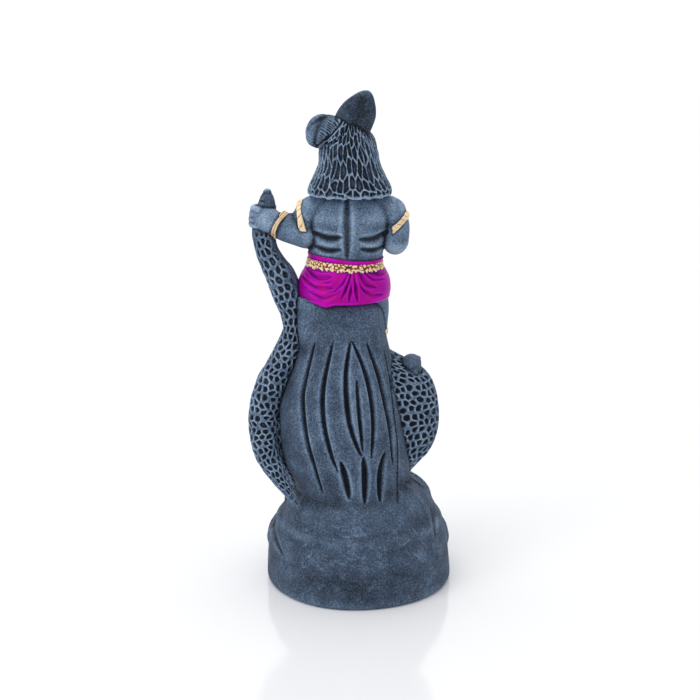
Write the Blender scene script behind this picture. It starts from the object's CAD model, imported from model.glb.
import math

import bpy
import numpy as np
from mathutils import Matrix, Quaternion, Vector
from mathutils.bvhtree import BVHTree


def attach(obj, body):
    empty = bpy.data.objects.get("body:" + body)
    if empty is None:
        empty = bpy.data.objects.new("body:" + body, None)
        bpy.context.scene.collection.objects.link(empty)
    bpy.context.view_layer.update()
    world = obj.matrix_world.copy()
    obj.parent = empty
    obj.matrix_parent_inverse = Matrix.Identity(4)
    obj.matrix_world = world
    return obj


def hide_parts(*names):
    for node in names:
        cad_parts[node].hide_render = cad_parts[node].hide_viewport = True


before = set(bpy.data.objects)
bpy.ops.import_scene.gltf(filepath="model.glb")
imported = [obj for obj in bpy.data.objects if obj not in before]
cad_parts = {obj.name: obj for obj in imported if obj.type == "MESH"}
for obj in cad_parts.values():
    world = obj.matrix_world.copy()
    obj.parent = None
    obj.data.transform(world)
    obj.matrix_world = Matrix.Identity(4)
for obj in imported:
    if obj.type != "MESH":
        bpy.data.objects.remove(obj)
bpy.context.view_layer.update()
mm = 0.001


# Camera, floor and light

view = {
    "distance": 800,  # mm behind the doll
    "height": 344,
    "pitchDeg": 16.3,
    "focalPx": 1824,
    "imagePx": 700,
    "sensor": 36,
}


def makeCamera():
    data = bpy.data.cameras.new("camera")
    data.sensor_width = view["sensor"]
    data.lens = view["focalPx"] / view["imagePx"] * view["sensor"]
    camera = bpy.data.objects.new("camera", data)
    camera.location = (0, view["distance"] * mm, view["height"] * mm)
    camera.rotation_euler = (math.radians(90 - view["pitchDeg"]), 0, math.pi)
    bpy.context.collection.objects.link(camera)
    bpy.context.scene.camera = camera


def linear(hexColour):
    # sRGB hex to the linear values that the shaders take
    channels = [int(hexColour[i:i + 2], 16) / 255 for i in (1, 3, 5)]
    return [c / 12.92 if c <= 0.04045 else ((c + 0.055) / 1.055) ** 2.4 for c in channels] + [1]


def addNode(material, kind, settings=None, links=None):
    node = material.node_tree.nodes.new(kind)
    for key, value in (settings or {}).items():
        if isinstance(key, int) or key in node.inputs:
            node.inputs[key].default_value = value
        else:
            setattr(node, key, value)
    for key, source in (links or {}).items():
        material.node_tree.links.new(source, node.inputs[key])
    return node


def emptyMaterial(name):
    material = bpy.data.materials.new(name)
    material.use_nodes = True
    material.node_tree.nodes.clear()
    return material


studio = {
    # brightness of the white room, from behind the doll to the camera's side
    "roomBehind": 1.25, "roomSide": 1.0, "roomCamera": 0.42,
    "floorHex": "#F4F5F7",
    "floorRoughness": 0.12,
    "floorSize": 14,  # m, so that its far edge is above the picture
    # place in m, size in m, watts
    "lamps": [
        [(0.5, 0.5, 1.5), 0.8, 5],
        [(0.95, 0.75, 0.7), 0.5, 2.5],
    ],
}


def makeStudio():
    world = bpy.data.worlds.new("studio")
    bpy.context.scene.world = world
    world.use_nodes = True
    direction = addNode(world, "ShaderNodeTexCoord").outputs["Generated"]
    parts = addNode(world, "ShaderNodeSeparateXYZ", links={0: direction})
    towards = addNode(world, "ShaderNodeMapRange", {"From Min": -1, "From Max": 1}, {
        "Value": parts.outputs["Y"]})
    ramp = addNode(world, "ShaderNodeValToRGB", links={"Fac": towards.outputs[0]})
    ramp.color_ramp.elements.new(0.5)
    for element, key in zip(ramp.color_ramp.elements, ("roomBehind", "roomSide", "roomCamera")):
        element.color = [studio[key]] * 3 + [1]
    background = world.node_tree.nodes["Background"]
    world.node_tree.links.new(ramp.outputs["Color"], background.inputs["Color"])
    bpy.ops.mesh.primitive_plane_add(size=studio["floorSize"])
    floor = bpy.context.object
    floor.name = "floor"
    # Polished white board: bright and plain, with a faint reflection
    material = emptyMaterial("whiteBoard")
    board = addNode(material, "ShaderNodeBsdfPrincipled", {
        "Base Color": linear(studio["floorHex"]),
        "Roughness": studio["floorRoughness"],
    })
    addNode(material, "ShaderNodeOutputMaterial", links={"Surface": board.outputs[0]})
    floor.data.materials.append(material)
    for place, size, watts in studio["lamps"]:
        data = bpy.data.lights.new("softbox", "AREA")
        data.shape = "SQUARE"
        data.size = size
        data.energy = watts
        lamp = bpy.data.objects.new("softbox", data)
        lamp.location = place
        toDoll = Vector((0, 0, 0.11)) - Vector(place)
        lamp.rotation_euler = toDoll.to_track_quat("-Z", "Y").to_euler()
        bpy.context.collection.objects.link(lamp)
    settings = bpy.context.scene.view_settings
    settings.view_transform = "Standard"
    settings.look = "None"


makeCamera()
makeStudio()
print("camera and studio made")


# Shaping helpers, all in mm

def sectionAt(stations, z):
    # smooth line through stations whose first number is z
    rows = np.array(stations, float)
    z = np.atleast_1d(np.asarray(z, float))
    last = len(rows) - 1
    i = np.clip(np.searchsorted(rows[:, 0], z, side="left") - 1, 0, last - 1)
    before, start = rows[np.maximum(i - 1, 0)], rows[i]
    end, after = rows[i + 1], rows[np.minimum(i + 2, last)]
    span = (end - start)[:, :1]
    t = np.clip((z[:, None] - start[:, :1]) / span, 0, 1)
    leave = span * (end - before) / (end - before)[:, :1]
    arrive = span * (after - start) / (after - start)[:, :1]
    bend = leave * (1 - t) - arrive * t
    return start + (end - start) * t * t * (3 - 2 * t) + bend * t * (1 - t)


def smoothStep(low, high, value):
    t = np.clip((value - low) / (high - low), 0, 1)
    return t * t * (3 - 2 * t)


def bell(value, width):
    return np.exp(-(value / width) ** 2)


def readPoints(piece):
    points = np.empty(len(piece.data.vertices) * 3)
    piece.data.vertices.foreach_get("co", points)
    return points.reshape(-1, 3) / mm


def writePoints(piece, points):
    piece.data.vertices.foreach_set("co", (points * mm).ravel())
    piece.data.update()


def readNormals(piece):
    normals = np.empty(len(piece.data.vertices) * 3, np.float32)
    piece.data.vertex_normals.foreach_get("vector", normals)
    return normals.reshape(-1, 3).astype(float)


def pushOut(piece, rise):
    writePoints(piece, readPoints(piece) + readNormals(piece) * rise[:, None])


def applyModifier(piece, kind, **settings):
    bpy.context.view_layer.objects.active = piece
    modifier = piece.modifiers.new(kind.lower(), kind)
    for key, value in settings.items():
        setattr(modifier, key, value)
    bpy.ops.object.modifier_apply(modifier=modifier.name)


def roundForm(name, around, rows, place):
    # a sphere whose points move to place(share of the way up, angle)
    bpy.ops.object.select_all(action="DESELECT")
    bpy.ops.mesh.primitive_uv_sphere_add(segments=around, ring_count=rows, radius=1)
    piece = bpy.context.object
    piece.name = piece.data.name = name
    points = readPoints(piece) * mm
    share = 1 - np.arccos(np.clip(points[:, 2], -1, 1)) / math.pi
    angle = np.arctan2(points[:, 1], points[:, 0]) % (2 * math.pi)
    writePoints(piece, place(share, angle))
    return piece, share, angle


def ringForm(name, around, minor, place):
    # a torus whose points move to place(angle round the ring, turn round its section)
    bpy.ops.object.select_all(action="DESELECT")
    bpy.ops.mesh.primitive_torus_add(
        major_segments=around, minor_segments=minor, major_radius=1, minor_radius=0.25)
    piece = bpy.context.object
    piece.name = piece.data.name = name
    points = readPoints(piece) * mm
    angle = np.arctan2(points[:, 1], points[:, 0])
    turn = np.arctan2(points[:, 2], np.hypot(points[:, 0], points[:, 1]) - 1)
    writePoints(piece, place(angle, turn))
    return piece


def stackPlace(stations, rows, front=1.0, crowd=0.0, lumps=None):
    # rings of [z, centre x, centre y, half-width, half-depth], closed flat at both ends
    low, high = stations[0][0], stations[-1][0]

    def place(share, angle):
        angle = angle - crowd * np.sin(2 * angle)
        z = low + (high - low) * np.clip((share * rows - 1) / (rows - 2), 0, 1)
        cut = sectionAt(stations, z)
        rim = np.where((share < 0.5 / rows) | (share > 1 - 0.5 / rows), 0, 1)
        x = rim * cut[:, 3] * np.cos(angle)
        y = rim * cut[:, 4] * np.sin(angle) * np.where(np.sin(angle) < 0, front, 1)
        if lumps:
            grow = 1 + lumps(angle, z) / np.maximum(np.hypot(x, y), 1)
            x, y = x * grow, y * grow
        return np.column_stack([cut[:, 1] + x, cut[:, 2] + y, z])
    return place


def pathOf(stops, count=200, side=(1, 0, 0)):
    # centre line, radius and turning frame along stops of [x, y, z, radius]
    stops = np.array(stops, float)
    steps = np.linalg.norm(np.diff(stops[:, :3], axis=0), axis=1)
    along = np.concatenate([[0], np.cumsum(steps)])
    reach = np.linspace(0, along[-1], count)
    line = sectionAt(np.column_stack([along, stops]), reach)[:, 1:]
    ways = np.gradient(line[:, :3], axis=0)
    ways /= np.linalg.norm(ways, axis=1)[:, None]
    sides = []
    across = np.array(side, float)
    for way in ways:
        across = across - way * (across @ way)
        across /= np.linalg.norm(across)
        sides.append(across)
    sides = np.array(sides)
    return {"reach": reach, "line": line[:, :3], "radius": line[:, 3], "way": ways,
            "side": sides, "up": np.cross(ways, sides)}


def limbPlace(path):
    length, first, last = path["reach"][-1], path["radius"][0], path["radius"][-1]

    def place(share, angle):
        at = share * (first + length + last) - first
        inner = np.clip(at, 0, length)
        pick = lambda key: np.column_stack(
            [np.interp(inner, path["reach"], column) for column in path[key].T])
        radius = np.interp(inner, path["reach"], path["radius"])
        below = np.clip(-at / first, 0, 1)
        above = np.clip((at - length) / last, 0, 1)
        swell = np.sqrt(np.clip(1 - np.maximum(below, above) ** 2, 0, 1))
        centre = pick("line") + pick("way") * (above * last - below * first)[:, None]
        return (centre + pick("side") * (radius * swell * np.cos(angle))[:, None]
                + pick("up") * (radius * swell * np.sin(angle))[:, None])
    return place


def limb(name, stops, around=28, rows=36, side=(1, 0, 0)):
    return roundForm(name, around, rows, limbPlace(pathOf(stops, side=side)))[0]


def egg(name, centre, half, turnDeg=(0, 0, 0), around=28, rows=20):
    turn = Quaternion((1, 0, 0), math.radians(turnDeg[0]))
    turn = Quaternion((0, 1, 0), math.radians(turnDeg[1])) @ turn
    turn = Quaternion((0, 0, 1), math.radians(turnDeg[2])) @ turn
    matrix = np.array(turn.to_matrix())

    def place(share, angle):
        out = np.sin(share * math.pi)
        ball = np.column_stack([out * np.cos(angle), out * np.sin(angle), -np.cos(share * math.pi)])
        return (ball * np.array(half)) @ matrix.T + np.array(centre)
    return roundForm(name, around, rows, place)[0]


def joined(name, pieces):
    bpy.ops.object.select_all(action="DESELECT")
    for piece in pieces:
        piece.select_set(True)
    bpy.context.view_layer.objects.active = pieces[0]
    if len(pieces) > 1:
        bpy.ops.object.join()
    pieces[0].name = pieces[0].data.name = name
    return pieces[0]


def fused(name, pieces, voxel, passes):
    piece = joined(name, pieces)
    applyModifier(piece, "REMESH", mode="VOXEL", voxel_size=voxel * mm)
    if passes:
        applyModifier(piece, "SMOOTH", factor=0.5, iterations=passes)
    return piece


def spread(piece, values, passes):
    # each value moves half-way to its neighbours' mean, again and again
    ends = np.empty(len(piece.data.edges) * 2, np.int32)
    piece.data.edges.foreach_get("vertices", ends)
    one, other = ends.reshape(-1, 2).T
    count = len(values)
    shares = np.bincount(one, minlength=count) + np.bincount(other, minlength=count)
    for _ in range(passes):
        total = np.bincount(one, values[other], count) + np.bincount(other, values[one], count)
        values = 0.5 * values + 0.5 * total / np.maximum(shares, 1)
    return values


def riseOf(piece, passes):
    # how far each point stands out of its surroundings, in mm
    points = readPoints(piece)
    around = np.column_stack([spread(piece, points[:, k], passes) for k in range(3)])
    return np.einsum("ij,ij->i", points - around, readNormals(piece))


def markRelief(piece, relief, ridge=0.5):
    # ridges catch only a share of the pale brushing
    relief = np.where(relief > 0, relief * ridge, relief)
    data = piece.data.attributes.new("relief", "FLOAT", "POINT").data
    data.foreach_set("value", np.clip(relief, -1, 1).astype(np.float32))


def scatter(column, row, seed):
    value = np.sin(column * 127.1 + row * 311.7 + seed * 74.7) * 43758.5453
    return value - np.floor(value)


def cellBorders(p, q, columns, jitter, seed, stretch=1.0):
    # staggered uneven cells: 0 on their borders, growing to their middles, and the distance from
    # the middle. p closes after columns.
    column, row = np.floor(p), np.floor(q)
    nearest = np.full(len(p), 9.0)
    second = np.full(len(p), 9.0)
    for stepUp in (-1, 0, 1):
        r = row + stepUp
        for stepOn in (-2, -1, 0, 1, 2):
            c = column + stepOn
            home = c % columns
            x = c + 0.5 * (r % 2) + 0.5 + jitter * (scatter(home, r, seed) - 0.5)
            y = r + 0.5 + jitter * (scatter(home, r, seed + 1) - 0.5)
            gap = np.hypot(p - x, stretch * (q - y))
            second = np.minimum(second, np.maximum(nearest, gap))
            nearest = np.minimum(nearest, gap)
    return second - nearest, nearest


def roundPits(cells, thin, wide, reach=0.5):
    # 1 in the middle of each cell and 0 on its border
    border, fromMiddle = cells
    return smoothStep(thin, wide, border) * (1 - smoothStep(reach - 0.16, reach + 0.04, fromMiddle))


def furrowed(points, lines):
    # rise of a surface cut by leaf-shaped furrows with light lips. A line has points of (x, z),
    # a half-width and a depth, and cuts the side towards +Y.
    rise = np.zeros(len(points))
    for line in lines:
        stops = np.array(line["points"], float)
        steps = np.concatenate([[0], np.cumsum(np.linalg.norm(np.diff(stops, axis=0), axis=1))])
        samples = 70
        path = sectionAt(np.column_stack([steps, stops]), np.linspace(0, steps[-1], samples))[:, 1:]
        reach = 3 * line["width"]
        low, high = path.min(axis=0) - reach, path.max(axis=0) + reach
        flat = points[:, [0, 2]]
        near = np.where(np.all((flat > low) & (flat < high), axis=1) & (points[:, 1] > 0))[0]
        if not len(near):
            continue
        gaps = np.hypot(flat[near, 0, None] - path[None, :, 0], flat[near, 1, None] - path[None, :, 1])
        best = gaps.argmin(axis=1)
        gap = gaps[np.arange(len(near)), best]
        share = best / (samples - 1)
        swell = np.sin(np.pi * np.clip(share, 0.001, 0.999)) ** 0.4
        width = line["width"] * np.maximum(swell, 0.08)
        depth = line["depth"] * swell
        cut = -depth * (1 - smoothStep(line.get("flat", 0.45), 1.0, gap / width))
        lip = line.get("lip", 0.12) * depth * bell(gap / width - 1.2, 0.25)
        rise[near] += cut + lip
    return rise


# Paints

stonePaint = {
    "crevice": "#0A0D14", "dark": "#1E2734", "middle": "#435369", "light": "#6F86A1", "brushed": "#A0B4C9",
    "mottleMm": 8.0,
    "speckMm": 0.75,
    "grainMm": 0.4,
}


def makeStonePaint():
    # Matt slate acrylic over cast clay, dry-brushed: pale on ridges, near black in the hollows
    material = emptyMaterial("dryBrushedSlatePaint")
    place = addNode(material, "ShaderNodeTexCoord").outputs["Object"]
    relief = addNode(material, "ShaderNodeAttribute", {"attribute_name": "relief"}).outputs["Fac"]
    noises = {}
    for key, detail, rough in (("mottleMm", 3, 0.55), ("speckMm", 2, 0.6), ("grainMm", 2, 0.5)):
        noises[key] = addNode(material, "ShaderNodeTexNoise", {
            "Scale": 1 / (stonePaint[key] * mm), "Detail": detail, "Roughness": rough,
        }, {"Vector": place}).outputs["Fac"]
    level = addNode(material, "ShaderNodeMath", {"operation": "MULTIPLY_ADD", 1: 0.40, 2: 0.50}, {0: relief})
    mottled = addNode(material, "ShaderNodeMath", {"operation": "MULTIPLY_ADD", 1: 0.4}, {
        0: noises["mottleMm"], 2: level.outputs[0]})
    specked = addNode(material, "ShaderNodeMath", {"operation": "MULTIPLY_ADD", 1: 0.75}, {
        0: noises["speckMm"], 2: mottled.outputs[0]})
    centred = addNode(material, "ShaderNodeMath", {"operation": "SUBTRACT", 1: 0.575, "use_clamp": True}, {
        0: specked.outputs[0]})
    ramp = addNode(material, "ShaderNodeValToRGB", links={"Fac": centred.outputs[0]})
    stops = [(0.04, "crevice"), (0.26, "dark"), (0.5, "middle"), (0.74, "light"), (0.97, "brushed")]
    elements = ramp.color_ramp.elements
    while len(elements) < len(stops):
        elements.new(0.5)
    for element, (position, key) in zip(elements, stops):
        element.position = position
        element.color = linear(stonePaint[key])
    bump = addNode(material, "ShaderNodeBump", {"Strength": 0.5, "Distance": 0.12 * mm}, {
        "Height": noises["grainMm"]})
    skin = addNode(material, "ShaderNodeBsdfPrincipled", {
        "Roughness": 0.72, "IOR": 1.45, "Specular IOR Level": 0.3,
    }, {"Base Color": ramp.outputs["Color"], "Normal": bump.outputs[0]})
    addNode(material, "ShaderNodeOutputMaterial", links={"Surface": skin.outputs[0]})
    return material


magentaPaint = {
    "shade": "#4A0358", "middle": "#A8029E", "light": "#CC0CBE", "warm": "#B00A7C",
    "patchMm": 7.0,
    "grainMm": 0.5,
}


def makeMagentaPaint():
    # Pearlescent magenta acrylic: mica flakes give it a metallic sheen, and a purple wash sits in the folds
    material = emptyMaterial("pearlMagentaPaint")
    place = addNode(material, "ShaderNodeTexCoord").outputs["Object"]
    relief = addNode(material, "ShaderNodeAttribute", {"attribute_name": "relief"}).outputs["Fac"]
    noises = {}
    for key, detail in (("patchMm", 3), ("grainMm", 2)):
        noises[key] = addNode(material, "ShaderNodeTexNoise", {
            "Scale": 1 / (magentaPaint[key] * mm), "Detail": detail,
        }, {"Vector": place}).outputs["Fac"]
    level = addNode(material, "ShaderNodeMath", {"operation": "MULTIPLY_ADD", 1: 0.5, 2: 0.32}, {0: relief})
    mixed = addNode(material, "ShaderNodeMath", {"operation": "MULTIPLY_ADD", 1: 0.4, "use_clamp": True}, {
        0: noises["patchMm"], 2: level.outputs[0]})
    ramp = addNode(material, "ShaderNodeValToRGB", links={"Fac": mixed.outputs[0]})
    elements = ramp.color_ramp.elements
    elements.new(0.5)
    for element, (position, key) in zip(elements, [(0.1, "shade"), (0.5, "middle"), (0.9, "light")]):
        element.position = position
        element.color = linear(magentaPaint[key])
    warmth = addNode(material, "ShaderNodeMapRange", {"From Min": 0.5, "From Max": 0.75}, {
        "Value": noises["patchMm"]})
    tint = addNode(material, "ShaderNodeMix", {"data_type": "RGBA", 7: linear(magentaPaint["warm"])}, {
        0: warmth.outputs[0], 6: ramp.outputs["Color"]})
    bump = addNode(material, "ShaderNodeBump", {"Strength": 0.35, "Distance": 0.08 * mm}, {
        "Height": noises["grainMm"]})
    skin = addNode(material, "ShaderNodeBsdfPrincipled", {
        "Metallic": 0.4, "Roughness": 0.42, "Specular IOR Level": 0.1,
    }, {"Base Color": tint.outputs[2], "Normal": bump.outputs[0]})
    addNode(material, "ShaderNodeOutputMaterial", links={"Surface": skin.outputs[0]})
    return material


goldPaint = {
    "recess": "#2E1A0A", "middle": "#A56B28", "light": "#D9AA6C", "brushed": "#F8E0BC",
    "strokeMm": 1.3,
}


def makeGoldPaint():
    # Gold craft paint brushed by hand over stone: creamy on top, brown where it thins in the recesses
    material = emptyMaterial("brushedGoldPaint")
    place = addNode(material, "ShaderNodeTexCoord").outputs["Object"]
    relief = addNode(material, "ShaderNodeAttribute", {"attribute_name": "relief"}).outputs["Fac"]
    stroke = addNode(material, "ShaderNodeTexNoise", {
        "Scale": 1 / (goldPaint["strokeMm"] * mm), "Detail": 3,
    }, {"Vector": place}).outputs["Fac"]
    level = addNode(material, "ShaderNodeMath", {"operation": "MULTIPLY_ADD", 1: 0.45, 2: 0.25}, {0: relief})
    mixed = addNode(material, "ShaderNodeMath", {"operation": "MULTIPLY_ADD", 1: 0.6, "use_clamp": True}, {
        0: stroke, 2: level.outputs[0]})
    ramp = addNode(material, "ShaderNodeValToRGB", links={"Fac": mixed.outputs[0]})
    stops = [(0.12, "recess"), (0.42, "middle"), (0.66, "light"), (0.9, "brushed")]
    elements = ramp.color_ramp.elements
    while len(elements) < len(stops):
        elements.new(0.5)
    for element, (position, key) in zip(elements, stops):
        element.position = position
        element.color = linear(goldPaint[key])
    bump = addNode(material, "ShaderNodeBump", {"Strength": 0.4, "Distance": 0.1 * mm}, {"Height": stroke})
    skin = addNode(material, "ShaderNodeBsdfPrincipled", {
        "Metallic": 0.35, "Roughness": 0.42,
    }, {"Base Color": ramp.outputs["Color"], "Normal": bump.outputs[0]})
    addNode(material, "ShaderNodeOutputMaterial", links={"Surface": skin.outputs[0]})
    return material


paints = {
    "stone_grey_paint": makeStonePaint(),
    "magenta_paint": makeMagentaPaint(),
    "gold_paint": makeGoldPaint(),
}


def finishPiece(piece, slot):
    bpy.ops.object.select_all(action="DESELECT")
    piece.select_set(True)
    bpy.context.view_layer.objects.active = piece
    bpy.ops.object.shade_smooth()
    piece.data.materials.clear()
    piece.data.materials.append(paints[slot])
    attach(piece, "root")
    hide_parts("doll")
    print("piece", piece.name, len(piece.data.loop_triangles) or len(piece.data.polygons))


# Mound, coils and trunk

base = {
    "height": 52, "radius": 42.8, "centre": (-4.1, 0.5),
    # share of the height, share of the radius
    "profile": [[0, 0.97], [0.025, 1], [0.12, 1], [0.29, 0.985], [0.4, 0.972], [0.52, 0.925], [0.58, 0.9],
                [0.635, 0.85], [0.75, 0.78], [0.81, 0.738], [0.87, 0.665], [0.925, 0.58], [1, 0.49]],
    # height, reach sideways, reach forward, radius
    "coils": [[18, 35, 33.5, 11.5], [37, 28.5, 26.5, 8.8]],
    "voxel": 0.52,
    "triangles": 140000,
}
trunkStations = [
    [44, -1.2, 3, 25.6, 26], [50, -0.5, 2, 26.8, 25.8], [57, 1.2, 1, 29, 27], [66, 2.8, 0, 29.4, 28.4],
    [76, 4.1, -1, 28.8, 29], [86, 4.8, -2, 28.1, 28.5], [97, 4.2, -2, 25.2, 25.8], [110, 3.6, -2, 21.8, 21.8],
    [118, 4.2, -1.4, 20.6, 19.4], [127, 4.8, -0.6, 19.8, 16.6], [131.5, 5.6, -0.1, 19, 15],
    [134.5, 7.6, 0.2, 16.9, 13.6], [137, 9.4, 0.3, 14.6, 12.2],
]
# each furrow's points are (x, z) on the back, from its top to its foot
trunkFurrows = [
    {"points": [(15.6, 118.5), (21.2, 97.3), (21.6, 89.2), (19.8, 74.7), (16.7, 63.7), (12.3, 49)],
     "width": 1.25, "depth": 1.9},
    {"points": [(7.6, 119), (12.1, 99.1), (12.1, 84.8), (8.5, 68.9), (5.0, 60)], "width": 1.3, "depth": 1.9},
    {"points": [(-0.2, 119.5), (1.8, 103.4), (0.4, 85.2), (-2.7, 74.2), (-5.6, 67.5)],
     "width": 1.4, "depth": 2.0},
    {"points": [(-0.8, 119.5), (-6.7, 106.2), (-9.9, 93.2), (-10.8, 80.8), (-9.7, 66)],
     "width": 1.25, "depth": 1.9},
    {"points": [(-3.0, 102.8), (-4.0, 91.0), (-5.2, 78.5), (-5.8, 70)], "width": 1.05, "depth": 1.6},
    {"points": [(-7.4, 118), (-13.1, 102.7), (-16.7, 88.3), (-18.8, 76), (-19.6, 61)],
     "width": 1.2, "depth": 1.8},
    {"points": [(-15.2, 114), (-18.6, 99.1), (-20.6, 83), (-21.4, 74)], "width": 0.55, "depth": 0.9},
    {"points": [(-21.4, 78), (-22.2, 66), (-22.0, 52), (-21.6, 44)], "width": 0.5, "depth": 0.8},
    {"points": [(4.2, 66), (2.4, 59), (0.2, 48)], "width": 1.7, "depth": 2.1},
    {"points": [(-6.1, 68), (-6.9, 58), (-6.7, 46)], "width": 1.7, "depth": 2.2},
    {"points": [(-15.9, 68.5), (-14.2, 60), (-13.6, 46)], "width": 1.6, "depth": 2.1},
]
# a knife leaves soft shoulders beside each furrow, so the strips between stand round
shoulders = {"width": 3.2, "depth": 0.55}
moundCreases = [
    {"points": [(30.6, 40.6), (34.4, 36), (36.4, 30.4), (35.8, 24.5), (30.6, 18.5)],
     "width": 2.6, "depth": 0.8, "flat": 0, "lip": 0.3},
    {"points": [(-25, 50.6), (-31.5, 46), (-36, 40), (-38.6, 33), (-39.4, 25)],
     "width": 1.6, "depth": 0.7, "flat": 0, "lip": 0.3},
    {"points": [(22, 46), (27, 42), (33, 40.5)], "width": 2.4, "depth": 0.7, "flat": 0, "lip": 0.2},
]
# pale strokes that the dry brush leaves on the mound's back
strokes = {"count": 46, "halfWidth": 0.42, "shortest": 1.2, "longest": 3.6, "strength": 0.55}


def strokeLines():
    lines = []
    for i in range(strokes["count"]):
        x, z = 36 * (2 * scatter(i, 1, 3) - 1), 4 + 34 * scatter(i, 2, 3)
        half = strokes["shortest"] + (strokes["longest"] - strokes["shortest"]) * scatter(i, 4, 3)
        lean = math.radians(110 * (scatter(i, 3, 3) - 0.5))
        dx, dz = half * math.cos(lean), half * math.sin(lean)
        lines.append({"points": [(x - dx, z - dz), (x + 0.25 * dz, z - 0.25 * dx), (x + dx, z + dz)],
                      "width": strokes["halfWidth"], "depth": 1, "flat": 0, "lip": 0})
    return lines


def trunkCorners(angle, z):
    # the trunk grows squarer towards its top
    return 1.8 * np.sin(2 * angle) ** 2 * smoothStep(112, 124, z)


def coilPath(height, reachX, reachY, radius):
    stops = []
    turns = 13
    for i in range(turns):
        angle = math.radians(184 + 172 * i / (turns - 1))
        fromEnd = min(1, 3 * i / (turns - 1), 3 - 3 * i / (turns - 1))
        thick = radius * (0.7 + 0.3 * math.sin(math.pi * fromEnd / 2))
        stops.append([-3.8 + reachX * math.cos(angle), reachY * math.sin(angle), height, thick])
    return pathOf(stops, side=(0, 0, 1))


def makeBase():
    stations = [[up * base["height"], *base["centre"], base["radius"] * out, base["radius"] * out * 0.99]
                for up, out in base["profile"]]
    lumps = lambda angle, z: (0.4 * np.sin(3 * angle + z / 9) * np.sin(np.pi * z / base["height"])
                              + 1.3 * bell(angle - 1.2, 0.5) * (1 - smoothStep(0, 14, z)))
    mound, _, _ = roundForm("mound", 160, 60, stackPlace(stations, 60, lumps=lumps))
    trunk, _, _ = roundForm("trunk", 160, 90, stackPlace(trunkStations, 90, front=0.5, lumps=trunkCorners))
    paths = [coilPath(*row) for row in base["coils"]]
    coils = [roundForm("coil", 40, 120, limbPlace(path))[0] for path in paths]
    piece = fused("base", [mound, trunk] + coils, base["voxel"], 3)
    points = readPoints(piece)
    # the trunk's foot runs into the mound with no edge
    foot = piece.vertex_groups.new(name="foot")
    soft = smoothStep(37, 44, points[:, 2]) * (1 - smoothStep(52, 60, points[:, 2]))
    soft *= smoothStep(0, 12, points[:, 1])
    for level in range(1, 11):
        chosen = np.where(np.ceil(soft * 10) == level)[0]
        foot.add([int(i) for i in chosen], level / 10, "REPLACE")
    applyModifier(piece, "SMOOTH", factor=0.8, iterations=90, vertex_group="foot")
    piece.vertex_groups.clear()
    points = readPoints(piece)
    cores = [{**line, "width": line["width"] * 1.2, "flat": 0.2, "lip": 0.05} for line in trunkFurrows]
    sides = [{**line, **shoulders, "flat": 0, "lip": 0} for line in trunkFurrows]
    rise = furrowed(points, cores + sides + moundCreases)
    for path, pitch in zip(paths, (3.2, 2.9)):
        rise += coilScales(points, path, pitch)
    pushOut(piece, rise)
    relief = riseOf(piece, 8) / 0.24 + 0.6 * riseOf(piece, 60) / 0.6
    relief -= strokes["strength"] / 0.4 * furrowed(points, strokeLines())
    # more of the wash stays low on the back
    relief -= 0.12 + 0.2 * bell(points[:, 0], 26) * (1 - smoothStep(8, 36, points[:, 2])) * (points[:, 1] > 0)
    markRelief(piece, spread(piece, relief, 1), 0.4)
    # flat and gently curved stretches keep fewer faces than the carving
    applyModifier(piece, "DECIMATE", ratio=min(1, base["triangles"] / (2 * len(piece.data.polygons))))
    finishPiece(piece, "stone_grey_paint")


def coilScales(points, path, pitch):
    # pits over the front of a coil, fading out towards the back
    rise = np.zeros(len(points))
    reach = path["radius"].max() + 1.5
    near = np.where((points[:, 1] < 6) & (np.abs(points[:, 2] - path["line"][0, 2]) < reach))[0]
    gaps = np.linalg.norm(points[near, None, :] - path["line"][None, ::4, :], axis=2)
    best = gaps.argmin(axis=1) * 4
    gap = gaps.min(axis=1)
    on = np.abs(gap - path["radius"][best]) < 1.2
    near, best = near[on], best[on]
    off = points[near] - path["line"][best]
    angle = np.arctan2(np.einsum("ij,ij->i", off, path["up"][best]),
                       np.einsum("ij,ij->i", off, path["side"][best]))
    along = path["reach"][best] + np.einsum("ij,ij->i", off, path["way"][best])
    columns = round(2 * math.pi * path["radius"].max() / pitch)
    cells = cellBorders(angle / (2 * math.pi) * columns % columns, along / pitch, columns, 0.4, 5)
    fade = 1 - smoothStep(-14, -4, points[near, 1])
    rise[near] = -0.9 * roundPits(cells, 0.14, 0.5) * fade
    return rise


makeBase()


# Hood

hood = {
    "stations": [
        [46, 2.4, -4, 27, 17], [53, 3.2, -5, 33.8, 18.5], [60, 2.4, -6, 39.6, 18],
        [70, 2.3, -6.5, 43.3, 17.5], [81, 2.35, -7, 43.6, 17], [92, 2.5, -7, 41.4, 16.5],
        [99, 3.2, -7, 37.4, 16], [103.5, 4.2, -7.5, 30.6, 15], [106.5, 4.6, -8, 25.2, 13.5],
        [109, 3.4, -8, 19.8, 12.5], [112, 1.4, -8, 13, 10.5],
    ],
    "around": 400, "rows": 200,
    "pitch": 3.8,  # mm between pits
    "plate": 5.2,  # mm a belly plate
}


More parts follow.
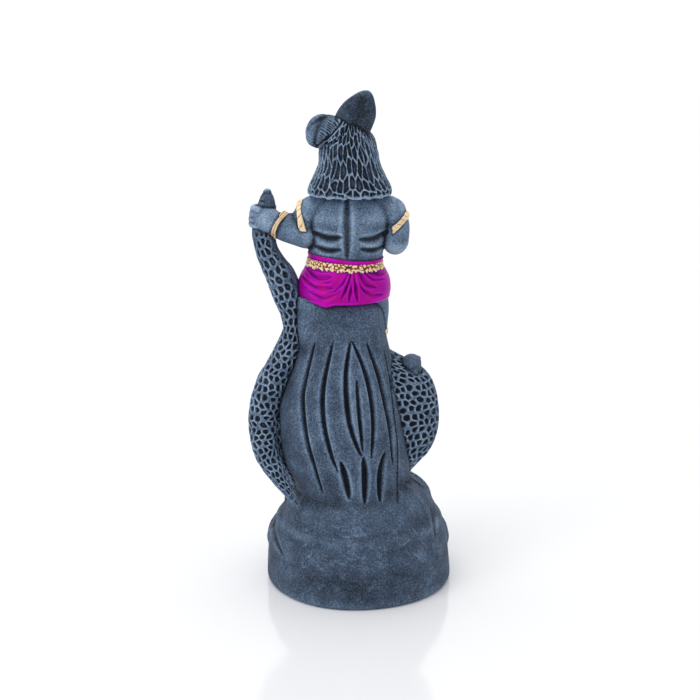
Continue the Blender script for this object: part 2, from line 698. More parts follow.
def makeHood():
    stations = hood["stations"]
    piece, _, angle = roundForm(
        "hood", hood["around"], hood["rows"], stackPlace(stations, hood["rows"], crowd=0.16))
    points = readPoints(piece)
    angle = angle - 0.16 * np.sin(2 * angle)
    # distance round the widest ring, and up the side
    turns = np.linspace(0, 2 * math.pi, 721)
    steps = np.hypot(43.6 * np.diff(np.cos(turns)), 17 * np.diff(np.sin(turns)))
    arc = np.concatenate([[0], np.cumsum(steps)])
    columns = round(arc[-1] / hood["pitch"])
    heights = np.linspace(46, 112, 300)
    cut = sectionAt(stations, heights)
    up = np.concatenate([[0], np.cumsum(np.hypot(np.diff(heights), np.diff(cut[:, 3])))])
    p = np.interp(angle, turns, arc) / arc[-1] * columns
    q = np.interp(points[:, 2], heights, up) / (hood["pitch"] * 0.9)
    p = p + 0.12 * np.sin(q * 2.3) + 0.1 * np.sin(p * 1.7 + q)
    pits = -1.15 * roundPits(cellBorders(p % columns, q, columns, 0.52, 3), 0.14, 0.46, 0.5)
    fromFront = np.abs((angle - 1.5 * math.pi + math.pi) % (2 * math.pi) - math.pi)
    z = points[:, 2]
    step = ((z - 2.5 * bell(fromFront, 0.5)) / hood["plate"]) % 1
    plates = 0.9 * (1 - step) ** 0.7 - 0.9 * bell(step, 0.07) - 0.9 * bell(step - 1, 0.07)
    frontShare = 1 - smoothStep(0.60, 0.66, fromFront)
    edge = -0.8 * bell(fromFront - 0.66, 0.025)
    top = 1 - smoothStep(104, 108, z)
    rise = (pits * (1 - frontShare) + plates * frontShare + edge) * top
    pushOut(piece, rise)
    markRelief(piece, riseOf(piece, 10) / 0.2, 0.55)
    finishPiece(piece, "stone_grey_paint")


makeHood()


# Tail

tail = {
    "stops": [
        [36.9, -0.5, 183.1, 1.9], [37, -0.5, 181.2, 3], [37.2, -0.5, 178, 3.9], [37.8, -0.5, 174, 4.8],
        [38.8, 0, 165, 5.2], [37.4, 0.5, 157, 5.2], [34.4, 1, 150.5, 5.9], [31.2, 1.5, 145, 6.8],
        [28, 2, 136, 6.7], [26.2, 2, 127.5, 5.3], [25.6, 2.5, 120.5, 5], [28, 3, 112, 5.9],
        [32.8, 3.5, 102, 6.3], [37.6, 3.5, 91, 6.9], [39.8, 3.5, 80, 6.9], [39.8, 5, 70, 6.4],
        [38, 8, 62, 5.6], [33, 13, 54, 4.2], [27.6, 18, 47, 2.4], [23, 22, 41.5, 0.9],
    ],
    "around": 108, "rows": 460,
    "columns": 12,
    # distance from the tip and how long a pit is there
    "pitLengths": [[0, 4.4], [45, 4.4], [75, 3.4], [150, 3.2]],
}


def makeTail():
    path = pathOf(tail["stops"], 500)
    piece, share, angle = roundForm("tail", tail["around"], tail["rows"], limbPlace(path))
    points, normals = readPoints(piece), readNormals(piece)
    length = path["reach"][-1] + path["radius"][0] + path["radius"][-1]
    along = share * length
    reach = np.linspace(0, length, 600)
    steps = np.diff(reach) / np.interp(reach[1:], *np.array(tail["pitLengths"]).T)
    q = np.interp(along, reach, np.concatenate([[0], np.cumsum(steps)]))
    p = angle / (2 * math.pi) * tail["columns"] + 0.15 * np.sin(q * 1.9)
    pits = roundPits(cellBorders(p % tail["columns"], q, tail["columns"], 0.55, 9), 0.13, 0.45, 0.52)
    outer = smoothStep(-0.8, -0.35, normals[:, 0])
    below = smoothStep(18, 22, along)
    low = np.maximum(outer, 1 - smoothStep(112, 122, points[:, 2]))
    rise = -1.15 * pits * below * low
    # a nick near the tip
    outward = smoothStep(-0.2, 0.7, normals[:, 1]) * smoothStep(-0.2, 0.5, normals[:, 0])
    rise -= 0.45 * bell(along - 5.4, 0.5) * outward
    pushOut(piece, rise)
    markRelief(piece, riseOf(piece, 8) / 0.2, 0.6)
    finishPiece(piece, "stone_grey_paint")


makeTail()


# Serpent's heads

# place of the head, size, turn about Z, and the skull's half-height as a share of the size
heads = [[(2, -25, 101), 9.2, 0, 0.6], [(27.5, -14, 101), 6.6, 18, 0.6], [(-28.4, -5, 102.6), 5.4, -14, 0.74]]


def makeHeads():
    parts = []
    for (x, y, z), size, turn, domed in heads:
        parts.append(limb("neck", [[x * 0.84, y * 0.6 - 3, z - 10, size], [x * 0.96, y * 0.8, z - 4.4, size],
                                   [x, y + 1, z - 1, size * 0.84]]))
        way = Quaternion((0, 0, 1), math.radians(turn)).to_matrix()
        at = lambda dx, dy, dz: tuple(way @ Vector((dx * size, dy * size, dz * size)) + Vector((x, y, z)))
        parts.append(egg("skull", at(0, 0.1, 0.05), [size * 0.84, size * 1.1, size * domed], (8, 0, turn)))
        parts.append(egg("snout", at(0, -0.7, -0.08), [size * 0.56, size * 0.72, size * 0.4], (8, 0, turn)))
        for side in (-1, 1):
            parts.append(egg("eye", at(side * 0.56, -0.5, 0.28), [size * 0.16] * 3))
            parts.append(egg("brow", at(side * 0.5, -0.36, 0.42), [size * 0.14, size * 0.36, size * 0.1],
                             (0, 0, turn)))
            parts.append(egg("nostril", at(side * 0.2, -1.3, 0.08), [size * 0.07] * 3))
    piece = fused("serpentHeads", parts, 0.42, 3)
    points = readPoints(piece)
    rise = np.zeros(len(points))
    for (x, y, z), size, turn, _ in heads:
        back = np.array(Quaternion((0, 0, 1), math.radians(-turn)).to_matrix())
        own = (points - np.array([x, y, z])) @ back.T / size
        mouth = bell(own[:, 2] + 0.22 + 0.12 * own[:, 1] ** 2, 0.05)
        rise -= 0.7 * mouth * (own[:, 1] < 0.15) * (np.abs(own).max(axis=1) < 1.6)
    pushOut(piece, rise)
    markRelief(piece, riseOf(piece, 8) / 0.17)
    finishPiece(piece, "stone_grey_paint")


makeHeads()


# Body: torso, arms, hands, legs and feet

torsoStations = [
    [148, 2.4, 0.8, 16.6, 12], [156, 2, 0.8, 16.8, 11.6], [162, 1.2, 0.8, 17.2, 11.8],
    [169, 0.6, 0.9, 18.8, 12.6], [174, 0, 0.9, 20, 12.6], [179, 0, 0.8, 17.6, 10.6],
    [183, 0, 0.2, 10.5, 8.2], [187, 0, -1, 6.6, 6.6],
]
backCreases = [
    {"points": [(1.3, 184), (1.4, 172), (1.3, 163), (1.2, 155)], "width": 2.7, "depth": 0.85, "flat": 0.15},
    {"points": [(17, 167), (10.2, 164.8), (3.2, 165.6)], "width": 2.6, "depth": 1.05},
    {"points": [(16.6, 160.6), (9.8, 159.2), (3.2, 160)], "width": 1.9, "depth": 0.8},
    {"points": [(-3.6, 164.6), (-10.6, 164.2), (-17.4, 167.2)], "width": 2.5, "depth": 0.95},
    {"points": [(-4.2, 160.2), (-10.7, 158.8), (-15.6, 160)], "width": 1.8, "depth": 0.75},
]
limbs = {
    "neck": [[0, 0.6, 180, 7], [0.2, -1.4, 188, 6.4]],
    "leftUpperArm": [[16, 0.6, 175, 6.8], [19.6, 0.6, 170, 7.2], [20.4, 0.8, 166, 7]],
    "leftForearm": [[19.6, 1, 165.4, 7.4], [24, 0.6, 166.6, 7.2], [28.6, 0, 167.4, 6.6],
                    [33.4, -0.4, 168.8, 5.7], [37, -0.4, 170.6, 5.2]],
    "leftDeltoid": [[10, 1.6, 175.6, 7.4], [16, 1, 174.8, 7.4]],
    "rightDeltoid": [[-10, 1.6, 175.6, 7.4], [-17, 1, 174.8, 7.2]],
    "rightUpperArm": [[-18.6, 0.8, 174.6, 6.6], [-20.4, 1.4, 168, 6.3], [-20.4, 1.2, 161.6, 6]],
    "rightForearm": [[-20.4, 1.2, 161.6, 5.9], [-20.2, -8, 158.6, 5.3], [-18.4, -16.6, 160, 3.6]],
    "standingLeg": [[-8.4, -1, 141, 8], [-11, -3.6, 130, 6.8], [-11.8, -3.4, 121, 5.4], [-12, -3, 114, 4.6]],
    "thigh": [[8, -2, 141, 9], [11, -11, 139.4, 8.8], [12, -18.6, 136, 7.2]],
    "shin": [[12, -18.6, 135.6, 7], [7, -19.6, 129, 5.8], [1, -18, 123.4, 4.0]],
    "thumb": [[-14.6, -19.2, 161, 1.7], [-12.6, -20.2, 163.4, 1.4], [-11.8, -20.6, 165.4, 1.1]],
    "leftThumb": [[34, -3.5, 172.5, 1.9], [36, -6, 174.5, 1.6], [39, -6.6, 175.4, 1.3]],
}


def makeBody():
    parts = [roundForm("torso", 120, 70, stackPlace(torsoStations, 70))[0]]
    parts += [limb(name, stops) for name, stops in limbs.items()]
    # belly and chest
    parts.append(egg("belly", (1.4, -3.2, 158.5), (12.5, 10.6, 10)))
    for side in (-1, 1):
        parts.append(egg("chest", (0.2 + side * 7, -5.4, 172.6), (8, 6.6, 6.4)))
        parts.append(egg("shoulder", (side * 18, 0.6, 173.8), (6.8, 7.6, 7)))
    # raised palm with four straight fingers
    parts.append(egg("palm", (-17.8, -19.2, 162.4), (4.9, 2.7, 5)))
    for i, (length, lean) in enumerate([(6.2, 2.6), (7.4, 0.8), (7.0, -0.8), (5.2, -2.8)]):
        x = -14.4 - 2.25 * i
        parts.append(limb("finger", [[x, -19.4, 165, 1.35], [x + lean * 0.2, -20, 165 + length * 0.55, 1.3],
                                     [x + lean * 0.32, -19.9, 165 + length, 1.05]], 16, 20))
    # fist round the tail: the back of the hand and four fingers that curl to the front
    parts.append(egg("fistBack", (36.8, 1.8, 171.2), (7.2, 6.3, 5.9), (0, -24, 0)))
    for i in range(4):
        z = 168.9 + 2.35 * i
        turns = [math.radians(a) for a in (60, 32, 0, -35, -70, -105, -135)]
        reach = 6.1 - 0.3 * abs(i - 1.4)
        curl = [[38.8 - 0.25 * i + reach * 0.92 * math.cos(t), -0.6 + reach * math.sin(t),
                 z + 0.3 * math.sin(t), 1.55] for t in turns]
        parts.append(limb("fistFinger", curl, 16, 44, side=(0, 0, 1)))
    # feet and toes
    parts.append(egg("foot", (-12, -8.4, 112.8), (4.6, 9, 3.2)))
    parts.append(egg("heel", (-12, -2.4, 112.6), (4, 4.4, 3.4)))
    parts.append(egg("raisedFoot", (-4.6, -19.6, 120.6), (8.2, 4.2, 3.1), (0, -18, 0)))
    for i in range(5):
        size = 1.7 - 0.16 * i
        parts.append(egg("toe", (-9 - 1.75 * i, -17.2 + 0.175 * i * i, 111.6),
                         (size, size * 1.4, size * 0.9)))
        parts.append(egg("raisedToe", (-12.6 + 0.2 * i, -22.4 + 1.7 * i, 118.2 + 0.15 * i),
                         (size * 1.4, size, size * 0.9)))
    piece = fused("body", parts, 0.42, 6)
    points = readPoints(piece)
    rise = furrowed(points, [{"flat": 0.1, "lip": 0.1, **crease} for crease in backCreases])
    navel = np.hypot(points[:, 0] - 1.4, points[:, 2] - 157) / 1.2
    rise -= 1.0 * bell(navel, 1) * (points[:, 1] < -8)
    breast = bell(points[:, 0] - 0.4, 1.0) * bell(points[:, 2] - 170, 6)
    rise -= 0.5 * breast * (points[:, 1] < -6)
    pushOut(piece, rise)
    relief = riseOf(piece, 30) / 0.38 + 0.8 * riseOf(piece, 110) / 0.8
    markRelief(piece, spread(piece, relief, 2) + 0.2, 0.75)
    finishPiece(piece, "stone_grey_paint")


makeBody()


# Head and face

headStations = [
    [185.4, 0.2, -9, 3.4, 4.4], [187.4, 0.2, -7.8, 6.8, 8], [191, 0.2, -6, 9.8, 10.6],
    [196, 0.2, -4.8, 12, 12.2], [202, 0.2, -4.2, 12.4, 12.8], [208, 0.2, -3.6, 10.8, 11.6],
    [212, 0.2, -3, 7, 8],
]


def makeHead():
    parts = [roundForm("skull", 100, 70, stackPlace(headStations, 70))[0]]
    parts.append(egg("chin", (0.2, -14.6, 188.4), (3.4, 2.6, 2.6)))
    ridge = [[0.2, -16.4, 202.6, 1.1], [0.2, -17.2, 199.4, 1.2], [0.2, -18.3, 196.8, 1.5]]
    parts.append(limb("noseRidge", ridge))
    parts.append(egg("noseTip", (0.2, -18.3, 196.4), (1.7, 1.5, 1.3)))
    for side in (-1, 1):
        parts.append(egg("cheek", (0.2 + side * 6.2, -12.6, 194.4), (4.6, 3.6, 4.4)))
        parts.append(egg("nostril", (0.2 + side * 1.7, -17.2, 196), (1.2, 1.3, 0.95)))
        parts.append(egg("eyeball", (0.2 + side * 4.9, -14.7, 200.2), (2.6, 1.9, 1.5), (0, 0, side * 14)))
        lid = [[0.2 + side * (4.9 + dx), -16.1 + 0.16 * abs(dx) + 0.12 * max(dx, 0) ** 2, 200.2 + dz, 0.42]
               for dx, dz in [(-2.9, -0.3), (-1.6, 1.0), (0.2, 1.5), (1.9, 0.9), (3.3, -0.1)]]
        parts.append(limb("upperLid", lid, 12, 30))
        low = [[x, y + 0.1, 200.2 - (z - 200.2) * 0.75, 0.3] for x, y, z, _ in lid]
        parts.append(limb("lowerLid", low, 12, 30))
        arch = [(2.0, 203.7, 0.5), (4.2, 204.9, 0.62), (6.4, 204.8, 0.55), (8.6, 203.4, 0.35)]
        brow = [[0.2 + side * dx, -16.6 + 0.035 * dx * dx, z, r] for dx, z, r in arch]
        parts.append(limb("brow", brow, 12, 30))
        parts.append(egg("upperLip", (0.2 + side * 1.3, -16.2, 192.8), (1.9, 1.1, 0.75), (0, side * 12, 0)))
        parts.append(egg("ear", (0.2 + side * 11.6, -6.4, 198.2), (1.5, 2.4, 4.2), (-8, 0, side * 20)))
        parts.append(egg("lobe", (0.2 + side * 11.4, -7.2, 194.4), (1.2, 1.6, 1.9)))
    parts.append(egg("lowerLip", (0.2, -15.9, 191.3), (2.1, 1.1, 0.9)))
    piece = fused("head", parts, 0.32, 3)
    points = readPoints(piece)
    front = points[:, 1] < -10
    across = points[:, 0] - 0.2
    mouth = bell(points[:, 2] - 192.1 - 0.06 * across ** 2, 0.35) * (np.abs(across) < 3.4)
    pushOut(piece, -0.45 * mouth * front)
    markRelief(piece, riseOf(piece, 20) / 0.3 + 0.25, 0.8)
    finishPiece(piece, "stone_grey_paint")


makeHead()


# Hair, knot and feather

hair = {
    "stations": [
        [182.8, 0.1, 3.2, 16.8, 10.4], [183.4, 0.1, 3.2, 18.2, 11.6], [185, 0.1, 3.2, 18.8, 12.1],
        [187.4, 0.1, 3, 18.1, 12.1], [191.5, 0.2, 2.8, 16.1, 11.7], [197, 0.3, 2.4, 13.8, 11.2],
        [202, 0.8, 1.4, 13.1, 11.8], [207, 1.2, 0, 11.4, 13], [211, 0.9, -0.6, 9, 12],
        [214, 0.6, -1.6, 7.4, 9.6], [216, 0.4, -2.4, 5, 6.4], [217, 0.4, -2.6, 2.2, 2.8],
    ],
    "around": 300, "rows": 150,
    "columns": 36,
    # height and how tall a cell is there
    "cellHeights": [[183, 3.0], [187, 4.2], [192, 6.8], [199, 8.2], [206, 6.4], [212, 4.2], [219.5, 3.4]],
}


def makeHair():
    rows = hair["rows"]
    piece, share, angle = roundForm("hair", hair["around"], rows, stackPlace(hair["stations"], rows))
    points = readPoints(piece)
    heights = np.linspace(180, 220, 400)
    tall = np.interp(heights, *np.array(hair["cellHeights"]).T)
    count = np.concatenate([[0], np.cumsum(np.diff(heights) / tall[1:])])
    q = np.interp(points[:, 2], heights, count)
    # cells lean outwards near the hem
    lean = 0.3 * np.cos(angle) * (1 - smoothStep(183, 193, points[:, 2]))
    p = angle / (2 * math.pi) * hair["columns"] + lean
    p = p + 0.06 * np.sin(q * 3.1 + p * 0.9) + 0.05 * np.sin(q * 5.3 + p * 2.1)
    q = q + 0.12 * np.sin(p * 2.6)
    cells = cellBorders(p % hair["columns"], q, hair["columns"], 0.6, 21, 0.85)
    wave = 0.5 * np.sin(angle * 17) + 0.3 * np.sin(angle * 29 + 1)
    hem = bell(points[:, 2] - 183.6, 0.7)
    away = smoothStep(0.5 / rows, 4 / rows, share)
    pit = roundPits(cells, 0.05, 0.26, 0.66) * (1 - 0.8 * hem) * away
    pushOut(piece, -1.1 * pit + 0.3 * hem)
    points = readPoints(piece)
    points[:, 2] += wave * 0.5 * (1 - smoothStep(183, 187, points[:, 2]))
    writePoints(piece, points)
    markRelief(piece, riseOf(piece, 14) / 0.26 - 0.1, 0.8)
    finishPiece(piece, "stone_grey_paint")


makeHair()

knot = {
    "stations": [
        [203.6, 13.4, 3, 1.4, 1.4], [204.6, 13.6, 3, 3.4, 3], [206, 13.7, 3.2, 4.9, 4.8],
        [208, 13.4, 3.6, 6, 6.4], [210.4, 12.4, 4, 7, 7.6], [213.4, 11, 4.2, 7.4, 7.6],
        [216, 10, 4.2, 6.2, 6], [217.6, 9.6, 4.2, 4.2, 4], [218.6, 9.6, 4.2, 1.6, 1.6],
    ],
    "rim": [[8.4, 4.4, 217, 1.2], [12, 4.6, 217.6, 1.8], [15.4, 4.8, 215.6, 2.2], [17.2, 4.8, 211.4, 2.4],
            [16.8, 4.4, 207.6, 2.1], [14, 4, 205.4, 1.3]],
    "tieStart": (2.2, 217.9), "tieEnd": (12.2, 206.9),
    "pleats": 13,
}


def makeKnot():
    shell, _, _ = roundForm("shell", 110, 90, stackPlace(knot["stations"], 90))
    rim = limb("rim", knot["rim"], 30, 60)
    bridge = egg("bridge", (6.6, 3.8, 211.4), (7, 8.6, 5), (0, 47, 0))
    piece = fused("hairKnot", [shell, rim, bridge], 0.34, 4)
    points = readPoints(piece)
    start, end = np.array(knot["tieStart"]), np.array(knot["tieEnd"])
    length = np.linalg.norm(end - start)
    down = (end - start) / length
    out = np.array([-down[1], down[0]])
    flat = points[:, [0, 2]] - start
    along, off = flat @ down, flat @ out
    behind = smoothStep(3, 6, points[:, 1])
    # pleats start deep at the tie and thin out before the rolled rim
    fan = along / length * knot["pleats"] + 0.3 * np.sin(off * 0.8) + 0.35 * np.sin(along * 0.9)
    fan += 0.12 * off * (along / length - 0.5)
    ridges = 0.5 + 0.5 * np.cos(2 * math.pi * fan)
    uneven = 0.65 + 0.35 * np.sin(along * 1.3 + off * 1.7)
    edge = 7.6 - 0.05 * (along - 7) ** 2
    zone = smoothStep(0.3, 1, off) * (1 - smoothStep(2.4 + 0.9 * np.sin(along * 1.1), edge - 1, off))
    rise = -0.8 * ridges * zone * uneven * behind
    rise -= 1.2 * bell(off, 0.6) * behind * smoothStep(-2, 1, along)
    rise -= 1.1 * bell(off - edge, 1.6) * behind
    # the hair's own cells start below the tie
    columns = 60
    p, q = points[:, 0] / 2.1 + 20, points[:, 2] / 4.4 + 0.4
    pits = roundPits(cellBorders(p, q, columns, 0.7, 33, 0.85), 0.07, 0.3, 0.62)
    rise -= 0.9 * pits * (1 - smoothStep(-1.6, -0.7, off)) * behind
    pushOut(piece, rise)
    shade = 0.5 * bell(off - edge + 0.8, 1.6) + 0.5 * bell(off, 0.8)
    markRelief(piece, riseOf(piece, 9) / 0.17 - shade * behind + 0.1, 0.8)
    finishPiece(piece, "stone_grey_paint")


makeKnot()

featherStations = [
    [205, -1, 2.4, 5.4, 4], [212, -1.4, 3, 8, 4.4], [217, -2.2, 3.2, 9, 4], [221, -3.2, 3, 8.2, 3.4],
    [224.5, -4.4, 2.6, 6.4, 2.8], [227, -5.8, 2.2, 4.2, 2.2], [228.5, -6.6, 2, 2.2, 1.5],
    [229, -6.9, 1.9, 0.8, 0.7],
]


def makeFeather():
    piece, _, _ = roundForm("feather", 140, 90, stackPlace(featherStations, 90))
    points, normals = readPoints(piece), readNormals(piece)
    cut = sectionAt(featherStations, points[:, 2])
    across = (points[:, 0] - cut[:, 1]) / np.maximum(cut[:, 3], 1)
    face = smoothStep(0.1, 0.5, np.abs(normals[:, 1]))
    tip = 1 - smoothStep(224, 228.5, points[:, 2])
    rise = -0.8 * bell(across + 0.1, 0.4) * face * tip + 0.2 * bell(np.abs(across) - 0.85, 0.15) * face
    pushOut(piece, rise)
    markRelief(piece, riseOf(piece, 60) / 1.2 - 0.2 * bell(across + 0.1, 0.5) * face - 0.3)
    finishPiece(piece, "stone_grey_paint")


makeFeather()


# Cloth and belt

cloth = {
    "stations": [
        [135, 2.8, 0.8, 17, 13.4], [135.4, 2.8, 0.8, 19.2, 15.6], [136.4, 2.8, 0.8, 20.5, 16.5],
        [140, 2.7, 0.9, 21.1, 16.8], [145, 2.5, 1, 20.3, 16], [149.5, 2.4, 0.9, 18, 13.8],
        [152, 2.2, 0.8, 16.7, 12.4], [154, 2.2, 0.8, 16.6, 12.1], [156.4, 2, 0.8, 17.1, 12.3],
    ],
    "around": 320, "rows": 80,
    "folds": [
        {"points": [(20.5, 150), (15, 147.4), (8, 148.2)], "width": 1.5, "depth": 0.8},
        {"points": [(21, 148.2), (14, 145.2), (7.6, 146)], "width": 0.9, "depth": 0.4},
        {"points": [(22, 146), (15, 142.8), (7, 143.6)], "width": 1.8, "depth": 1.05},
        {"points": [(21.5, 143), (13.6, 140.8), (6.2, 142.2)], "width": 0.9, "depth": 0.4},
        {"points": [(19, 141.2), (12, 139), (5.6, 140.6)], "width": 1.5, "depth": 0.75},
        {"points": [(0.2, 150.4), (2.8, 146), (7.4, 141.6)], "width": 0.9, "depth": 0.5},
        {"points": [(-0.9, 151), (0.6, 145.6), (4.2, 138)], "width": 1.2, "depth": 0.95},
        {"points": [(-1.2, 148.6), (-0.4, 143), (0.6, 137)], "width": 1.0, "depth": 0.95},
        {"points": [(-1.7, 150.6), (-2.4, 144.6), (-3.4, 137)], "width": 1.2, "depth": 1.05},
        {"points": [(-2.6, 150.2), (-4.6, 145), (-7, 140.6)], "width": 0.9, "depth": 0.6},
        {"points": [(-3.4, 150.4), (-7.4, 145), (-12, 142.6)], "width": 1.6, "depth": 1.05},
        {"points": [(-5, 151), (-9.6, 147), (-15.6, 145.4)], "width": 1.0, "depth": 0.55},
        {"points": [(-7, 150.4), (-12, 148.4), (-16.6, 148)], "width": 1.4, "depth": 0.65},
        {"points": [(-6, 142.6), (-9.6, 139.6), (-15, 139)], "width": 1.5, "depth": 0.8},
    ],
}


def clothDrop(x):
    return 2.4 - 2.4 * smoothStep(-12, 20, x)


def makeCloth():
    rows = cloth["rows"]
    piece, _, angle = roundForm("cloth", cloth["around"], rows, stackPlace(cloth["stations"], rows))
    points = readPoints(piece)
    soft = [{**fold, "flat": 0, "lip": 0.35} for fold in cloth["folds"]]
    rise = furrowed(points, soft)
    # plainer folds round the front
    front = smoothStep(0, 8, -points[:, 1])
    up = points[:, 2] - 146
    drape = np.sin(angle * 9 + 0.35 * up) + 0.5 * np.sin(angle * 17 - 0.5 * up)
    rise += 0.35 * drape * front * smoothStep(-11, -7, up) * (1 - smoothStep(3, 6, up))
    rise += 0.3 * bell(points[:, 2] - 136.4, 0.5)
    pushOut(piece, rise)
    points = readPoints(piece)
    foot = 1 - smoothStep(134, 142, points[:, 2])
    points[:, 2] -= 1.6 * bell(points[:, 0] - 11.2, 3.2) * foot * (points[:, 1] > 0)
    points[:, 2] += 1.6 * smoothStep(18, 24, points[:, 0]) * foot
    # the upper edge falls towards the right arm, and so does the belt
    points[:, 2] -= clothDrop(points[:, 0]) * smoothStep(148, 154, points[:, 2])
    writePoints(piece, points)
    markRelief(piece, riseOf(piece, 8) / 0.36 + 0.6 * riseOf(piece, 44) / 0.7, 0.8)
    finishPiece(piece, "magenta_paint")


makeCloth()

belt = {
    "height": 152.6, "half": 1.5,
    "beads": 46,  # knobs in a row round the waist
    "drops": 64,
}


def makeBelt():
    def place(angle, turn):
        lift = belt["half"] * np.sign(np.sin(turn)) * np.abs(np.sin(turn)) ** 0.7
        cut = sectionAt(cloth["stations"], belt["height"] + lift)
        reach = 0.75 * np.sign(np.cos(turn)) * np.abs(np.cos(turn)) ** 0.7
        # two uneven rows of knobs with deep hollows between
        p = angle / (2 * math.pi) * belt["beads"] + 0.2 * np.sin(angle * 9)
        q = lift / belt["half"] + 0.35 * np.sin(angle * 13)
        cells = cellBorders(p % belt["beads"], q, belt["beads"], 0.75, 41, 0.9)
        reach = reach - 0.6 * (1 - roundPits(cells, 0.05, 0.4, 0.62)) * (np.cos(turn) > 0)
        x = cut[:, 1] + (cut[:, 3] + reach) * np.cos(angle)
        y = cut[:, 2] + (cut[:, 4] + reach) * np.sin(angle)
        return np.column_stack([x, y, belt["height"] + lift - 0.6 * clothDrop(x)])
    band = ringForm("beltBand", 256, 26, place)
    parts = [band]
    for i in range(belt["drops"]):
        angle = 2 * math.pi * (i + 0.25 * math.sin(i * 2.3)) / belt["drops"]
        z = belt["height"] - 1.5 + 0.3 * math.sin(i * 1.7)
        cut = sectionAt(cloth["stations"], z)[0]
        x = cut[1] + (cut[3] + 0.1) * math.cos(angle)
        y = cut[2] + (cut[4] + 0.1) * math.sin(angle)
        size = 0.55 + 0.15 * math.sin(i * 3.1)
        facing = math.degrees(math.atan2(math.sin(angle) / cut[4], math.cos(angle) / cut[3]))
        parts.append(egg("drop", (x, y, z - 0.6 * float(clothDrop(x))), (0.6, size, 0.9),
                         (28 * math.sin(i * 1.3), 0, facing), 10, 8))
    piece = joined("belt", parts)
    markRelief(piece, riseOf(piece, 8) / 0.12 + 0.05, 0.8)
    finishPiece(piece, "gold_paint")


makeBelt()


# Armlets, bracelets, anklets and necklace

# centre, way along the limb, furthest radius, half-width, number of notches, and where the flesh
# closes over the band: axis, limit and side
bands = {
    "armletLeft": [(20.4, 0.6, 173), (0.93, -0.27, -0.25), 9.5, 1.7, 14, (2, 167, -1)],
    "braceletLeft": [(31.6, -0.2, 168.2), (0.85, -0.3, 0.43), 8, 1.75, 0, None],
    "armletRight": [(-21.4, 1.4, 170.6), (0.66, 0.1, 0.75), 9.5, 1.7, 12, (0, -18.8, 1)],
    "braceletRight": [(-18.8, -14.6, 159.6), (0.15, -0.95, 0.2), 6, 1.2, 12, None],
    "ankletRight": [(-12, -3.2, 118.4), (0, 0.05, 1), 7.5, 1.4, 16, None],
    "ankletLeft": [(1.8, -18.3, 124.2), (-0.75, 0.2, -0.65), 7, 1.2, 14, None],
}


def makeBand(name, body):
    centre, way, furthest, half, notches, sink = bands[name]
    turn = np.array(Vector((0, 0, 1)).rotation_difference(Vector(way).normalized()).to_matrix())
    # how far out the skin is, all the way round
    steps = 72
    radii = []
    for i in range(steps):
        angle = 2 * math.pi * i / steps
        out = Vector(turn @ np.array([math.cos(angle), math.sin(angle), 0]))
        start = (Vector(centre) + out * furthest) * mm
        hit = body.ray_cast(start, -out, furthest * mm)[0]
        radii.append(furthest if hit is None else furthest - (hit - start).length / mm)
    radii = np.array(radii)
    for _ in range(6):
        radii = 0.5 * radii + 0.25 * np.roll(radii, 1) + 0.25 * np.roll(radii, -1)
    radii = np.append(radii, radii[0])

    def place(angle, section):
        flat = np.sign(np.sin(section)) * np.abs(np.sin(section)) ** 0.6
        rise = 0.62 * np.sign(np.cos(section)) * np.abs(np.cos(section)) ** 0.6
        outer = np.cos(section) > 0
        if notches:
            cut = np.sin(angle * notches / 2 + flat * 0.9 + 0.5 * np.sin(3 * angle))
            rise = rise - 0.3 * bell(cut, 0.22) * outer
        else:
            rise = rise - 0.25 * bell(np.abs(flat) - 0.4, 0.14) * outer
        reach = np.interp(angle % (2 * math.pi), np.linspace(0, 2 * math.pi, steps + 1), radii)
        thin = 0.85 + 0.15 * np.sin(2 * angle + 1)
        ring = lambda out: np.column_stack(
            [out * np.cos(angle), out * np.sin(angle), half * flat * thin]) @ turn.T + np.array(centre)
        if sink:
            axis, limit, side = sink
            rise = rise - 2.2 * smoothStep(-1, 2.2, side * (ring(reach)[:, axis] - limit))
        return ring(reach + rise)
    piece = ringForm(name, 220, 24, place)
    markRelief(piece, riseOf(piece, 4) / 0.12 + 0.65, 0.9)
    finishPiece(piece, "gold_paint")


bodyTree = BVHTree.FromObject(bpy.data.objects["body"], bpy.context.evaluated_depsgraph_get())
for bandName in bands:
    makeBand(bandName, bodyTree)


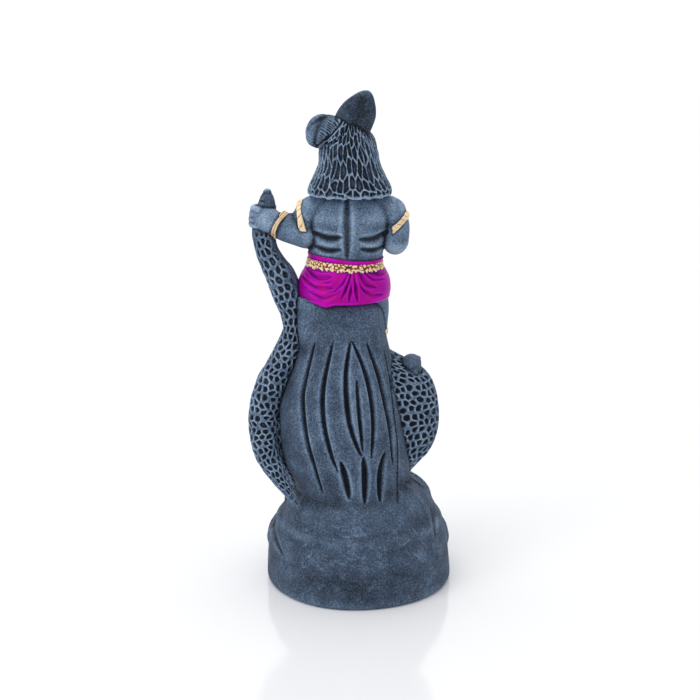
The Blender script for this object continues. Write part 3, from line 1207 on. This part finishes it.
def makeFrontGold():
    # plain gold for the side that the photograph doesn't show: collar, brow band, earrings
    parts = []
    collar = []
    for i in range(27):
        angle = math.radians(200 + 140 * i / 26)
        collar.append([0.2 + 12.5 * math.cos(angle), -1.5 + 10.8 * math.sin(angle),
                       181.2 + 3.6 * math.sin(angle), 0.85])
    parts.append(limb("collar", collar, 12, 80, side=(0, 0, 1)))
    for x, y, z, _ in collar[3:24:2]:
        parts.append(egg("drop", (x, y - 0.3, z - 1.5), (0.9, 0.8, 1.3), (0, 0, 0), 12, 8))
    brow = []
    for i in range(21):
        angle = math.radians(204 + 132 * i / 20)
        brow.append([0.2 + 11.2 * math.cos(angle), -3.8 + 12.2 * math.sin(angle),
                     206.2 + 0.6 * math.sin(angle), 0.8])
    parts.append(limb("browBand", brow, 12, 80, side=(0, 0, 1)))
    parts.append(egg("browJewel", (0.2, -16.6, 207.2), (1.6, 1, 2.2), (-20, 0, 0), 16, 10))
    for side in (-1, 1):
        parts.append(egg("earring", (0.2 + side * 11.6, -7.8, 191.6), (1.3, 1.6, 1.9), (0, 0, 0), 16, 10))
    piece = joined("frontJewels", parts)
    markRelief(piece, riseOf(piece, 4) / 0.12 + 0.4)
    finishPiece(piece, "gold_paint")


makeFrontGold()


# Dark wash that runs into the joins between the forms

wash = {"reach": 1.2, "strength": 0.7}


def washJoins():
    meshes = [piece for piece in bpy.data.objects if piece.type == "MESH"]
    carved = [piece for piece in meshes if "relief" in piece.data.attributes]
    names = [piece.name for piece in carved]
    gold = [piece.name for piece in carved if piece.active_material == paints["gold_paint"]]
    graph = bpy.context.evaluated_depsgraph_get()
    trees, places = {}, {}
    for name in names:
        trees[name] = BVHTree.FromObject(bpy.data.objects[name], graph)
        places[name] = readPoints(bpy.data.objects[name])
    reach = wash["reach"]
    # the gold is brushed on after the wash
    for name in [name for name in names if name not in gold]:
        points = places[name]
        gaps = np.full(len(points), reach)
        for other in names:
            if other == name:
                continue
            low, high = places[other].min(axis=0) - reach, places[other].max(axis=0) + reach
            for i in np.where(np.all((points > low) & (points < high), axis=1))[0]:
                hit = trees[other].find_nearest(Vector(points[i] * mm), reach * mm)[3]
                if hit is not None:
                    gaps[i] = min(gaps[i], hit / mm)
        data = bpy.data.objects[name].data.attributes["relief"].data
        relief = np.empty(len(points), np.float32)
        data.foreach_get("value", relief)
        relief -= wash["strength"] * (1 - smoothStep(0.1, 1.0, gaps / reach))
        data.foreach_set("value", np.clip(relief, -1, 1).astype(np.float32))
    print("wash laid over", len(names) - len(gold), "pieces")


washJoins()
